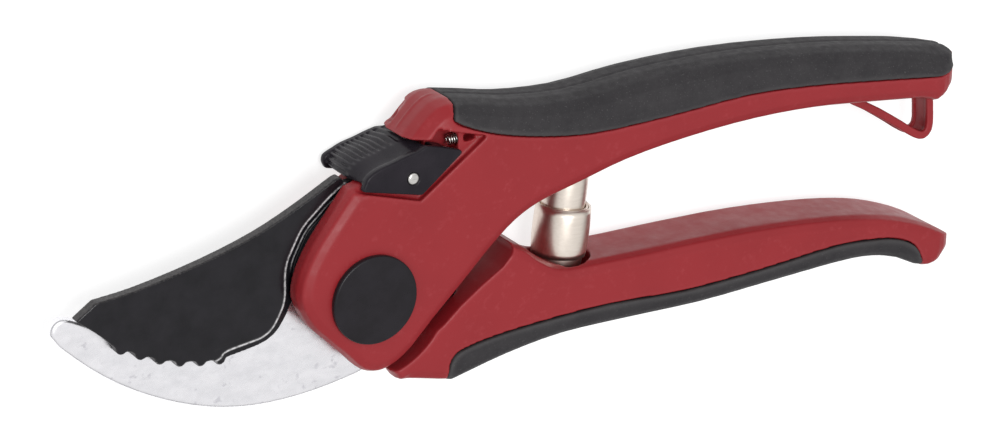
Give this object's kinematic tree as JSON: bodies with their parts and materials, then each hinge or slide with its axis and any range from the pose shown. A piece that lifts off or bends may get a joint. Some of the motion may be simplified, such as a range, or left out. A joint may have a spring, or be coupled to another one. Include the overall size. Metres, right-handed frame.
{
  "type": "bypass pruner",
  "caption": "Hand-held bypass pruner with soft grips, a thumb latch, a volute return spring and a hanging loop, closed and latched.",
  "frame": {"origin": "on the pivot axis, on the flat face of the back cap that the tool lies on", "axes": "+X along the tool from the blade tip towards the handles, +Y from the lower handle towards the upper handle, +Z along the pivot axis, out of the front cap"},
  "size_m": [0.2147, 0.0602, 0.02],
  "materials": {
    "red_nylon": "satin",
    "soft_grip": "matte",
    "black_plastic": "satin",
    "coated_steel": "gloss",
    "bright_plate": "polished",
    "bright_steel": "satin",
    "spring_steel": "satin",
    "bronze": "satin"
  },
  "bodies": {
    "upper": {"upper_handle": "red_nylon", "upper_grip": "soft_grip", "counter_blade": "bright_plate", "pivot_bushing": "bronze", "front_thrust_washer": "bronze", "back_thrust_washer": "bronze", "nut_washer": "bright_steel", "bolt_washer": "bright_steel", "pivot_bolt": "bright_steel", "pivot_nut": "bright_steel", "front_cap": "black_plastic", "back_cap": "black_plastic", "latch_spring": "bright_steel", "return_spring": "spring_steel", "hanging_loop": "red_nylon"},
    "lower": {"lower_handle": "red_nylon", "lower_grip": "soft_grip", "cutting_blade": "coated_steel"},
    "latch": {"latch": "black_plastic", "latch_pin": "bright_steel"}
  },
  "joints": [
    {"name": "handles_open", "type": "hinge", "parent": "upper", "child": "lower", "pos_m": [0, 0, 0.01], "axis": [0, 0, -1], "range_deg": [0, 25], "deforming": ["return_spring"]},
    {"name": "latch_rock", "type": "hinge", "parent": "upper", "child": "latch", "pos_m": [0.0088, 0.0241, 0.01], "axis": [0, 0, -1], "range_deg": [0, 7], "deforming": ["latch_spring"]}
  ]
}
